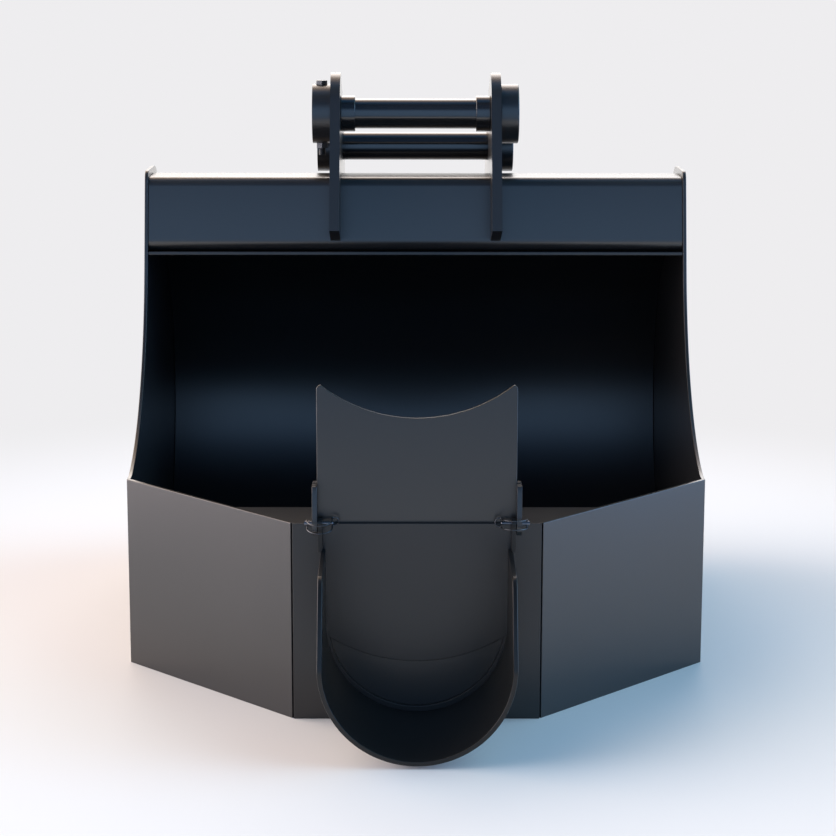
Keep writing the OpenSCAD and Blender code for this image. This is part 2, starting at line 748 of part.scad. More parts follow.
chute_lug(right);  // chute_lug_right
gate_plate();
chute_half(left);  // chute_half_left
chute_half(right);  // chute_half_right
chute_ear(left);  // chute_ear_left
chute_ear(right);  // chute_ear_right
lock_pin(left);  // lock_pin_left
lock_pin(right);  // lock_pin_right
lock_wire(left);  // lock_wire_left
lock_wire(right);  // lock_wire_right
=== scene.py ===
"""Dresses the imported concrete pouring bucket: satin paint, coated pins and soft studio light.

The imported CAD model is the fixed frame. Plates keep their places and get softened edges,
the bolts get their threads, which the CAD leaves out, and every piece gets its finish.
Lengths are in metres and angles in radians, unless a field says otherwise.
"""

import logging
import math
from dataclasses import dataclass, field
from enum import Enum

import bmesh
import bpy
import numpy as np
from mathutils import Matrix, Vector


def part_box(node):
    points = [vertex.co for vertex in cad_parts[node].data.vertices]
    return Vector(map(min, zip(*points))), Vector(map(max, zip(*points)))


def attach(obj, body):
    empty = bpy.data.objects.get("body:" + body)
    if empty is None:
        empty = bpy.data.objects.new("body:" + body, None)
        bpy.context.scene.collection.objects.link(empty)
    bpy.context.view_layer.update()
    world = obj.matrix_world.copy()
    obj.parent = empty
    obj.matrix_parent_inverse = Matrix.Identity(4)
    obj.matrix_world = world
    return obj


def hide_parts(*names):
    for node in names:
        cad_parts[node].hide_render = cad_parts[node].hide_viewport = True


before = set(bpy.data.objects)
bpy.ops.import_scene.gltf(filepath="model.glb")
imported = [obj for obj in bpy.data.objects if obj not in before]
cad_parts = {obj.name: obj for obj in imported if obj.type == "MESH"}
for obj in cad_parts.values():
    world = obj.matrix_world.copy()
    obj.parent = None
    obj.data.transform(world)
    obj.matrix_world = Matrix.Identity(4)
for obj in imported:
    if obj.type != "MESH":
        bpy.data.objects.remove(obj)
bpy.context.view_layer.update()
LOG = logging.getLogger("pouring_bucket")

IMAGE_SIDE_PX = 836
DISSOLVE_ANGLE = math.radians(0.6)
SHARP_ANGLE = math.radians(28.0)
MERGE_DISTANCE = 2e-6
BUTT_DISTANCE = 1e-5
BEVEL_SEGMENTS = 2


class Slot(Enum):
    """The names of the record's material slots for the new pieces."""

    BUCKET = "bucket_paint"
    HANGER = "hanger_paint"
    GATE = "gate_paint"
    CHUTE = "chute_paint"
    PIN = "pin_steel"
    FASTENER = "fastener_steel"


class Body(Enum):
    """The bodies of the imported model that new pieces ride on."""

    BUCKET = "bucket"
    GATE = "gate"
    CHUTE = "chute"


class Effect(Enum):
    """The surface effects that materials share."""

    PAINT = "paint_surface"
    STEEL = "worked_steel"


class EffectLibrary:
    """Builds each shared shader node group once and hands it out."""

    MOTTLE_SCALE = 5.0
    MOTTLE_DETAIL = 4.0
    SPRAY_SCALE = 160.0
    SPRAY_DETAIL = 2.0
    SPRAY_SHARE = 0.3
    PEEL_DETAIL = 1.0
    MARK_STRETCH = 0.04
    MARK_DETAIL = 2.0
    MARK_GLOSS = 0.12
    STAIN_SCALE = 45.0
    STAIN_DETAIL = 5.0
    NOISE_MIDDLE = 0.5

    def __init__(self) -> None:
        """Starts with no groups built."""
        self.groups: dict[Effect, bpy.types.NodeTree] = {}

    def get(self, effect: Effect) -> bpy.types.NodeTree:
        """Returns an effect's node group, building it on first use.

        Args:
            effect: the effect.

        Returns:
            The node group.
        """
        if effect not in self.groups:
            builders = {Effect.PAINT: self._paint_surface, Effect.STEEL: self._worked_steel}
            self.groups[effect] = builders[effect]()
        return self.groups[effect]

    @staticmethod
    def _group(name: str, inputs: list[tuple[str, str, object]]) -> bpy.types.NodeTree:
        """Makes an empty group with inputs and the outputs Colour, Roughness and Height.

        Args:
            name: the group's name.
            inputs: name, socket type and default of each input.

        Returns:
            The group, holding its input and output nodes.
        """
        group = bpy.data.node_groups.new(name, "ShaderNodeTree")
        for label, kind, default in inputs:
            socket = group.interface.new_socket(name=label, in_out="INPUT", socket_type=kind)
            socket.default_value = default
        for label, kind in (
            ("Colour", "NodeSocketColor"),
            ("Roughness", "NodeSocketFloat"),
            ("Height", "NodeSocketFloat"),
        ):
            group.interface.new_socket(name=label, in_out="OUTPUT", socket_type=kind)
        group.nodes.new("NodeGroupInput").name = "in"
        group.nodes.new("NodeGroupOutput").name = "out"
        return group

    @staticmethod
    def _noise(
        tree: bpy.types.NodeTree, vector: bpy.types.NodeSocket, scale: float, detail: float
    ) -> bpy.types.NodeSocket:
        """Adds a noise texture.

        Args:
            tree: the nodes to add to.
            vector: the coordinates that it reads.
            scale: its scale.
            detail: its octaves.

        Returns:
            Its value, which runs from 0 to 1.
        """
        node = tree.nodes.new("ShaderNodeTexNoise")
        node.inputs["Scale"].default_value = scale
        node.inputs["Detail"].default_value = detail
        tree.links.new(vector, node.inputs["Vector"])
        return node.outputs["Fac"]

    @staticmethod
    def _math(
        tree: bpy.types.NodeTree, operation: str, a: object, b: object, c: object = None
    ) -> bpy.types.NodeSocket:
        """Adds a Math node.

        Args:
            tree: the nodes to add to.
            operation: what the node does.
            a: the first operand, a socket or a number.
            b: the second operand.
            c: the third operand, or None where there are two.

        Returns:
            The result.
        """
        node = tree.nodes.new("ShaderNodeMath")
        node.operation = operation
        for socket, value in zip(node.inputs, (a, b, c)):
            if isinstance(value, bpy.types.NodeSocket):
                tree.links.new(value, socket)
            elif value is not None:
                socket.default_value = value
        return node.outputs[0]

    @staticmethod
    def _shade(
        tree: bpy.types.NodeTree, colour: bpy.types.NodeSocket, factor: bpy.types.NodeSocket
    ) -> bpy.types.NodeSocket:
        """Scales a colour by a value that varies over the surface.

        Args:
            tree: the nodes to add to.
            colour: the colour.
            factor: the value.

        Returns:
            The scaled colour.
        """
        node = tree.nodes.new("ShaderNodeVectorMath")
        node.operation = "SCALE"
        tree.links.new(colour, node.inputs[0])
        tree.links.new(factor, node.inputs["Scale"])
        return node.outputs[0]

    def _paint_surface(self) -> bpy.types.NodeTree:
        """Builds sprayed paint: slow mottling, orange peel and a film that varies in gloss.

        Returns:
            The node group.
        """
        tree = self._group(
            Effect.PAINT.value,
            [
                ("Base", "NodeSocketColor", (0.06, 0.06, 0.07, 1.0)),
                ("Mottle", "NodeSocketFloat", 0.1),
                ("Gloss Spread", "NodeSocketFloat", 0.05),
                ("Roughness", "NodeSocketFloat", 0.4),
                ("Peel Scale", "NodeSocketFloat", 420.0),
            ],
        )
        start, end = tree.nodes["in"], tree.nodes["out"]
        place = tree.nodes.new("ShaderNodeTexCoord").outputs["Object"]
        slow = self._noise(tree, place, self.MOTTLE_SCALE, self.MOTTLE_DETAIL)
        fine = self._noise(tree, place, self.SPRAY_SCALE, self.SPRAY_DETAIL)
        peel = tree.nodes.new("ShaderNodeTexNoise")
        peel.inputs["Detail"].default_value = self.PEEL_DETAIL
        tree.links.new(place, peel.inputs["Vector"])
        tree.links.new(start.outputs["Peel Scale"], peel.inputs["Scale"])
        slow_part = self._math(tree, "MULTIPLY", slow, 1.0 - self.SPRAY_SHARE)
        blend = self._math(tree, "MULTIPLY_ADD", fine, self.SPRAY_SHARE, slow_part)
        centred = self._math(tree, "SUBTRACT", blend, self.NOISE_MIDDLE)
        lift = self._math(tree, "MULTIPLY_ADD", centred, start.outputs["Mottle"], 1.0)
        tree.links.new(self._shade(tree, start.outputs["Base"], lift), end.inputs["Colour"])
        spread, plain = start.outputs["Gloss Spread"], start.outputs["Roughness"]
        gloss = self._math(tree, "MULTIPLY_ADD", centred, spread, plain)
        tree.links.new(gloss, end.inputs["Roughness"])
        tree.links.new(peel.outputs["Fac"], end.inputs["Height"])
        return tree

    def _worked_steel(self) -> bpy.types.NodeTree:
        """Builds turned or drawn steel: fine marks drawn out across X over slow staining.

        Returns:
            The node group.
        """
        tree = self._group(
            Effect.STEEL.value,
            [
                ("Base", "NodeSocketColor", (0.4, 0.42, 0.45, 1.0)),
                ("Staining", "NodeSocketFloat", 0.2),
                ("Roughness", "NodeSocketFloat", 0.35),
                ("Ring Scale", "NodeSocketFloat", 900.0),
            ],
        )
        start, end = tree.nodes["in"], tree.nodes["out"]
        place = tree.nodes.new("ShaderNodeTexCoord").outputs["Object"]
        squash = tree.nodes.new("ShaderNodeMapping")
        squash.inputs["Scale"].default_value = (1.0, self.MARK_STRETCH, self.MARK_STRETCH)
        tree.links.new(place, squash.inputs["Vector"])
        rings = tree.nodes.new("ShaderNodeTexNoise")
        rings.inputs["Detail"].default_value = self.MARK_DETAIL
        tree.links.new(squash.outputs[0], rings.inputs["Vector"])
        tree.links.new(start.outputs["Ring Scale"], rings.inputs["Scale"])
        stains = self._noise(tree, place, self.STAIN_SCALE, self.STAIN_DETAIL)
        centred = self._math(tree, "SUBTRACT", stains, self.NOISE_MIDDLE)
        lift = self._math(tree, "MULTIPLY_ADD", centred, start.outputs["Staining"], 1.0)
        tree.links.new(self._shade(tree, start.outputs["Base"], lift), end.inputs["Colour"])
        marks, plain = rings.outputs["Fac"], start.outputs["Roughness"]
        rough = self._math(tree, "MULTIPLY_ADD", marks, self.MARK_GLOSS, plain)
        tree.links.new(rough, end.inputs["Roughness"])
        tree.links.new(marks, end.inputs["Height"])
        return tree


EFFECTS = EffectLibrary()


@dataclass(frozen=True)
class Finish:
    """One surface finish, built as a material the first time it is asked for.

    Args:
        name: the material's name.
        colour: the base colour.
        roughness: the roughness before the effect varies it.
        effect: the shared effect that varies the surface.
        spread: how far the mottling or staining moves the colour.
        gloss_spread: how far a paint's roughness varies.
        scale: the scale of the orange peel or of the drawing marks.
        relief: the height of their relief.
        metallic: 1 for bare or plated metal.
        specular: the strength of a paint's gloss.
    """

    name: str
    colour: tuple[float, float, float]
    roughness: float
    effect: Effect = Effect.PAINT
    spread: float = 0.12
    gloss_spread: float = 0.08
    scale: float = 420.0
    relief: float = 0.00003
    metallic: float = 0.0
    specular: float = 0.5

    def material(self) -> bpy.types.Material:
        """Builds the material, where the shared effect feeds one Principled shader.

        Returns:
            The finish's material, the same one each time.
        """
        found = bpy.data.materials.get(self.name)
        if found is not None:
            return found
        material = bpy.data.materials.new(self.name)
        material.use_nodes = True
        tree = material.node_tree
        shader = tree.nodes["Principled BSDF"]
        surface = tree.nodes.new("ShaderNodeGroup")
        surface.node_tree = EFFECTS.get(self.effect)
        surface.inputs["Base"].default_value = (*self.colour, 1.0)
        surface.inputs["Roughness"].default_value = self.roughness
        if self.effect is Effect.PAINT:
            surface.inputs["Mottle"].default_value = self.spread
            surface.inputs["Gloss Spread"].default_value = self.gloss_spread
            surface.inputs["Peel Scale"].default_value = self.scale
        else:
            surface.inputs["Staining"].default_value = self.spread
            surface.inputs["Ring Scale"].default_value = self.scale
        relief = tree.nodes.new("ShaderNodeBump")
        relief.inputs["Strength"].default_value = 1.0
        relief.inputs["Distance"].default_value = self.relief
        tree.links.new(surface.outputs["Height"], relief.inputs["Height"])
        tree.links.new(surface.outputs["Colour"], shader.inputs["Base Color"])
        tree.links.new(surface.outputs["Roughness"], shader.inputs["Roughness"])
        tree.links.new(relief.outputs["Normal"], shader.inputs["Normal"])
        shader.inputs["Metallic"].default_value = self.metallic
        shader.inputs["Specular IOR Level"].default_value = self.specular
        return material


CHARCOAL = (0.014, 0.014, 0.015)
BUCKET_PAINT = Finish("satin_charcoal_bucket", CHARCOAL, 0.3, specular=0.8)
# The same charcoal paint made darker and less glossy: painted shade on the front panel.
SHADED_PANEL_PAINT = Finish("satin_charcoal_panel_painted_shade", (0.01, 0.01, 0.011), 0.34, specular=0.65)
DECK_PAINT = Finish("satin_charcoal_deck", CHARCOAL, 0.3, specular=0.8)
HANGER_PAINT = Finish("satin_charcoal_hanger", CHARCOAL, 0.3, scale=360.0, specular=1.0)
GATE_PAINT = Finish("satin_charcoal_gate", (0.014, 0.014, 0.014), 0.3, specular=0.78)
# The same charcoal paint made much darker and less glossy: painted shade on the chute's trough and
# ears.
SHADED_CHUTE_PAINT = Finish("satin_charcoal_chute_painted_shade", (0.008, 0.008, 0.008), 0.3, specular=0.38)
PIN_COAT = Finish("dark_coated_pin", CHARCOAL, 0.16, scale=500.0, specular=1.0)
FASTENER_STEEL = Finish(
    "dark_plated_fastener", (0.09, 0.1, 0.11), 0.4, Effect.STEEL, 0.3, scale=700.0, metallic=0.9
)
LOCK_STEEL = Finish(
    "plated_lock_pin", (0.16, 0.17, 0.195), 0.34, Effect.STEEL, 0.2, scale=900.0, metallic=1.0
)
WIRE_STEEL = Finish(
    "plated_spring_wire", (0.09, 0.095, 0.105), 0.36, Effect.STEEL, 0.15, scale=900.0, metallic=1.0
)


def new_object(name: str, mesh: bpy.types.Mesh) -> bpy.types.Object:
    """Links a mesh into the scene.

    Args:
        name: the object's name.
        mesh: its mesh.

    Returns:
        The object, at the origin.
    """
    piece = bpy.data.objects.new(name, mesh)
    bpy.context.scene.collection.objects.link(piece)
    return piece


def smooth_by_angle(mesh: bpy.types.Mesh, angle: float) -> None:
    """Shades a mesh smooth except at edges that turn by more than the angle.

    Args:
        mesh: the mesh to shade.
        angle: the turn in radians above which an edge stays sharp.
    """
    work = bmesh.new()
    work.from_mesh(mesh)
    for face in work.faces:
        face.smooth = True
    for edge in work.edges:
        edge.smooth = len(edge.link_faces) != 2 or edge.calc_face_angle(0.0) <= angle
    work.to_mesh(mesh)
    work.free()


def softened(node: str, width: float, butt_x: float | None = None) -> bpy.types.Object:
    """Copies a CAD node and rounds its edges as a plate's painted edges are.

    The copy's loose triangles are merged and its flat faces joined. A Bevel modifier then
    rounds every edge that turns by more than SHARP_ANGLE, apart from those that lie in the
    plane of a butt joint, where two halves meet flush.

    Args:
        node: the CAD node's name.
        width: how far the rounding reaches from the edge, in metres.
        butt_x: the X of the butt joint's plane, or None.

    Returns:
        The new piece, at the origin, in place of the node.
    """
    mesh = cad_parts[node].data.copy()
    work = bmesh.new()
    work.from_mesh(mesh)
    bmesh.ops.remove_doubles(work, verts=work.verts, dist=MERGE_DISTANCE)
    bmesh.ops.dissolve_limit(
        work,
        angle_limit=DISSOLVE_ANGLE,
        verts=work.verts,
        edges=work.edges,
        use_dissolve_boundaries=False,
    )
    weights = work.edges.layers.float.new("bevel_weight_edge")
    for edge in work.edges:
        sharp = len(edge.link_faces) == 2 and edge.calc_face_angle(0.0) > SHARP_ANGLE
        butted = butt_x is not None and all(
            abs(vertex.co.x - butt_x) < BUTT_DISTANCE for vertex in edge.verts
        )
        edge[weights] = 1.0 if sharp and not butted else 0.0
    work.to_mesh(mesh)
    work.free()
    mesh.materials.clear()
    smooth_by_angle(mesh, SHARP_ANGLE)
    piece = new_object(node + "_plate", mesh)
    bevel = piece.modifiers.new("soft_edges", "BEVEL")
    bevel.width = width
    bevel.segments = BEVEL_SEGMENTS
    bevel.limit_method = "WEIGHT"
    bevel.harden_normals = True
    bevel.use_clamp_overlap = True
    return piece


@dataclass
class Assembly:
    """A sub-assembly that dresses CAD nodes and puts finer pieces in place of others."""

    pieces: list[bpy.types.Object] = field(default_factory=list)

    def dress(self, node: str, finish: Finish) -> None:
        """Gives a CAD node that stays shown its material.

        Args:
            node: the node's name.
            finish: its finish.
        """
        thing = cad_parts[node]
        thing.data.materials.clear()
        thing.data.materials.append(finish.material())
        LOG.info("dressed %s", node)

    def take_over(
        self, piece: bpy.types.Object, node: str, body: Body, slot: Slot, finish: Finish
    ) -> None:
        """Puts a finished piece in the place of a CAD node.

        Args:
            piece: the new piece.
            node: the CAD node's name.
            body: the body that the node rides on.
            slot: the record's slot for the finish; not used.
            finish: the piece's finish.
        """
        piece.data.materials.append(finish.material())
        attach(piece, body.value)
        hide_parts(node)
        self.pieces.append(piece)
        LOG.info("%s stands for %s", piece.name, node)

    def soften(
        self,
        node: str,
        body: Body,
        slot: Slot,
        finish: Finish,
        width: float,
        butt_x: float | None = None,
    ) -> None:
        """Puts a copy with rounded edges in the place of a CAD node.

        Args:
            node: the CAD node's name.
            body: the body that the node rides on.
            slot: the record's slot for the finish.
            finish: the copy's finish.
            width: the reach of the rounding, in metres.
            butt_x: the X of a butt joint whose edges stay sharp, or None.
        """
        self.take_over(softened(node, width, butt_x), node, body, slot, finish)


@dataclass
class Bowl(Assembly):
    """The welded scoop: front wall, deck, floor, sides and wrapped shell."""

    plate_edge: float = 0.0011
    shell_edge: float = 0.0014
    guide_edge: float = 0.0008

    def build(self) -> None:
        """Softens the plates' edges and paints them."""
        for node in ("wing_left", "wing_right", "side_plate_left", "side_plate_right"):
            self.soften(node, Body.BUCKET, Slot.BUCKET, BUCKET_PAINT, self.plate_edge)
        self.soften("centre_panel", Body.BUCKET, Slot.BUCKET, SHADED_PANEL_PAINT, self.plate_edge)
        self.soften("deck_plate", Body.BUCKET, Slot.BUCKET, DECK_PAINT, self.plate_edge)
        self.soften("wrapper_shell", Body.BUCKET, Slot.BUCKET, BUCKET_PAINT, self.shell_edge)
        self.dress("front_floor", BUCKET_PAINT)
        for side in ("left", "right"):
            self.dress("gate_rail_" + side, BUCKET_PAINT)
            for node in ("gate_guide_" + side, "chute_lug_" + side):
                self.soften(node, Body.BUCKET, Slot.BUCKET, BUCKET_PAINT, self.guide_edge)


def lathe_mesh(name: str, heights: np.ndarray, radii: np.ndarray) -> bpy.types.Mesh:
    """Wraps a grid of radii round the Z axis and closes both ends at the axis.

    Point (i, j) lies at the angle 2 pi j / columns, at the radius radii[i, j] and at the
    height heights[i].

    Args:
        name: the mesh's name.
        heights: one height for each row, rising.
        radii: the radius of each point, one row for each height.

    Returns:
        The closed mesh, with its faces outwards.
    """
    rows, columns = radii.shape
    angles = 2.0 * np.pi * np.arange(columns) / columns
    levels = np.broadcast_to(heights[:, None], radii.shape)
    grid = np.stack([radii * np.cos(angles), radii * np.sin(angles), levels], axis=-1)
    grid = grid.reshape(-1, 3)
    points = np.vstack([grid, (0.0, 0.0, heights[0]), (0.0, 0.0, heights[-1])])
    index = np.arange(rows * columns).reshape(rows, columns)
    after = np.roll(index, -1, axis=1)
    walls = np.stack([index[:-1], after[:-1], after[1:], index[1:]], axis=-1).reshape(-1, 4)
    low, high = np.full(columns, rows * columns), np.full(columns, rows * columns + 1)
    foot = np.stack([low, after[0], index[0]], axis=-1)
    head = np.stack([high, index[-1], after[-1]], axis=-1)
    ends = np.vstack([foot, head])
    mesh = bpy.data.meshes.new(name)
    mesh.from_pydata(points.tolist(), [], walls.tolist() + ends.tolist())
    return mesh


@dataclass(frozen=True)
class Bolt:
    """A hexagon bolt with a rolled thread, whose axis crosses a hanger pin's axis."""

    radius: float = 0.006
    across_flats: float = 0.018
    head_height: float = 0.0075
    nut_height: float = 0.0095
    tail: float = 0.012
    seat_depth: float = 0.0015
    pitch: float = 0.00175
    thread_depth: float = 0.00095
    run_out: float = 0.001
    head_foot_step: float = 0.0003
    crown_height: float = 0.0012
    crown_share: float = 0.96
    crown_rows: int = 5
    columns: int = 48
    steps_per_turn: int = 8

    def mesh(self, name: str, collar_radius: float) -> bpy.types.Mesh:
        """Builds the bolt along Z with its head up and the pin's axis at height 0.

        From the tail up, the radius is a chamfer, then the thread: the crest less the depth
        times a triangle wave of height / pitch - angle / 2 pi. Then come the plain shank and
        the head, where it is the hexagon's half width over the cosine of the angle from the
        nearest flat, cut by a cone at the top.

        Args:
            name: the mesh's name.
            collar_radius: the radius of the collar that the bolt goes through.

        Returns:
            The bolt's mesh.
        """
        seat = collar_radius - self.seat_depth
        end = -(seat + self.nut_height + self.tail)
        angles = 2.0 * np.pi * np.arange(self.columns) / self.columns
        count = int((self.tail + self.nut_height) / self.pitch * self.steps_per_turn)
        cut = np.linspace(end, -seat, count)
        wave = np.abs(((cut[:, None] / self.pitch - angles / (2.0 * np.pi)) % 1.0) * 2.0 - 1.0)
        chamfer = np.clip(self.radius - self.thread_depth + (cut - end), 0.0, self.radius)[:, None]
        thread = np.minimum(self.radius - self.thread_depth * wave, chamfer)
        half = 0.5 * self.across_flats
        hexagon = half / np.cos((angles + np.pi / 6.0) % (np.pi / 3.0) - np.pi / 6.0)
        drop = np.linspace(self.crown_height, 0.0, self.crown_rows)
        cone = self.crown_share * half + math.sqrt(3.0) * drop
        crown = np.minimum(hexagon, cone[:, None])
        plain = np.full((2, self.columns), self.radius)
        step = self.head_foot_step
        radii = np.vstack([thread, plain, hexagon - step, hexagon, crown])
        shank = (-seat + self.run_out, seat, seat, seat + step)
        top = seat + self.head_height
        return lathe_mesh(name, np.concatenate([cut, shank, top - drop]), radii)


@dataclass
class Hanger(Assembly):
    """The top beam with its ears, pins, collars and the bolts that lock the pins."""

    beam_edge: float = 0.0015
    ear_edge: float = 0.0018
    collar_edge: float = 0.002
    spacer_edge: float = 0.0012
    pin_edge: float = 0.0015
    nut_edge: float = 0.0004
    bolt_tilts: tuple[tuple[str, float], ...] = (("dipper", 0.0), ("link", 45.0))

    def build(self) -> None:
        """Paints the hanger, coats its pins and threads its bolts."""
        self._paint("top_beam", self.beam_edge)
        for side in ("left", "right"):
            self._paint("hanger_ear_" + side, self.ear_edge)
            for pin in ("dipper", "link"):
                self._paint(f"{pin}_collar_{side}", self.collar_edge)
            self._coat("dipper_spacer_" + side, self.spacer_edge)
        for pin, tilt in self.bolt_tilts:
            self._coat(pin + "_pin", self.pin_edge)
            nut = pin + "_pin_nut"
            self.soften(nut, Body.BUCKET, Slot.FASTENER, FASTENER_STEEL, self.nut_edge)
            self._bolt(pin, math.radians(tilt))

    def _paint(self, node: str, edge: float) -> None:
        """Softens and paints a welded piece of the hanger."""
        self.soften(node, Body.BUCKET, Slot.HANGER, HANGER_PAINT, edge)

    def _coat(self, node: str, edge: float) -> None:
        """Softens and coats a pin or a spacer."""
        self.soften(node, Body.BUCKET, Slot.PIN, PIN_COAT, edge)

    def _bolt(self, pin: str, tilt: float) -> None:
        """Builds the bolt that goes through a pin's left collar.

        Args:
            pin: dipper or link.
            tilt: how far its head leans to the front, in radians.
        """
        node = pin + "_pin_bolt"
        low, high = (np.array(corner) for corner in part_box(node))
        collar_low, collar_high = (np.array(corner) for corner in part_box(pin + "_collar_left"))
        centre = 0.5 * (collar_low + collar_high)
        centre[0] = 0.5 * (low[0] + high[0])
        name = node + "_threaded"
        mesh = Bolt().mesh(name, 0.5 * (collar_high[2] - collar_low[2]))
        mesh.transform(Matrix.Translation(centre) @ Matrix.Rotation(tilt, 4, "X"))
        smooth_by_angle(mesh, SHARP_ANGLE)
        piece = new_object(name, mesh)
        self.take_over(piece, node, Body.BUCKET, Slot.FASTENER, FASTENER_STEEL)


@dataclass
class Gate(Assembly):
    """The sliding gate plate."""

    edge: float = 0.001

    def build(self) -> None:
        """Softens and paints the plate."""
        self.soften("gate_plate", Body.GATE, Slot.GATE, GATE_PAINT, self.edge)


@dataclass
class Chute(Assembly):
    """The half-round trough, its ears, and the pins and wires that lock it."""

    rim_edge: float = 0.0012
    ear_edge: float = 0.0008
    seam_x: float = 0.0

    def build(self) -> None:
        """Paints the trough and plates its lock pins and wires."""
        for side in ("left", "right"):
            half = "chute_half_" + side
            self.soften(half, Body.CHUTE, Slot.CHUTE, SHADED_CHUTE_PAINT, self.rim_edge, self.seam_x)
            self.soften("chute_ear_" + side, Body.CHUTE, Slot.CHUTE, SHADED_CHUTE_PAINT, self.ear_edge)
            self.dress("lock_pin_" + side, LOCK_STEEL)
            self.dress("lock_wire_" + side, WIRE_STEEL)


@dataclass(frozen=True)
class SoftBox:
    """A broad soft light of the studio, full near its aim and gone beyond its reach.

    Args:
        aim: the direction that the light comes from.
        colour: its colour.
        strength: its brightness, where 1 is white.
        core: the angle from the aim within which it is full, in degrees.
        reach: the angle from the aim at which it has faded out, in degrees.
    """

    aim: tuple[float, float, float]
    colour: tuple[float, float, float]
    strength: float
    core: float
    reach: float


BACKDROP = (0.855, 0.847, 0.863)
SOFT_BOXES = (
    # The wall behind, which lights up flat tops.
    SoftBox((0.0, 1.0, 0.08), (1.0, 0.96, 0.92), 1.9, 8.0, 40.0),
    # Low behind on the left.
    SoftBox((-0.866, 0.5, 0.105), (1.0, 0.86, 0.86), 3.8, 6.0, 36.0),
    # Low on the left.
    SoftBox((-1.0, -0.1, 0.105), (1.0, 0.87, 0.9), 5.0, 6.0, 38.0),
    # High on the left.
    SoftBox((-1.0, 0.0, 0.9), (1.0, 0.92, 0.8), 1.5, 8.0, 42.0),
    # The warm key, high behind on the left.
    SoftBox((-0.5, 0.866, 0.9), (1.0, 0.58, 0.18), 1.75, 8.0, 40.0),
    # A strip high behind, for the pins' highlights.
    SoftBox((0.0, 1.0, 0.6), (1.0, 0.97, 0.98), 3.0, 8.0, 24.0),
    # Low on the right, blue.
    SoftBox((1.0, 0.0, 0.105), (0.3, 0.55, 1.0), 4.8, 6.0, 36.0),
    # High on the right, blue.
    SoftBox((1.0, 0.0, 0.9), (0.5, 0.88, 1.0), 1.3, 8.0, 40.0),
    # Low in front, blue.
    SoftBox((0.0, -1.0, 0.14), (0.38, 0.63, 1.0), 0.85, 6.0, 34.0),
    # High in front, weak.
    SoftBox((0.0, -1.0, 0.9), (0.25, 0.5, 1.0), 0.14, 10.0, 36.0),
    # Overhead, blue.
    SoftBox((0.0, 0.5, 1.0), (0.08, 0.45, 1.0), 0.42, 10.0, 42.0),
)


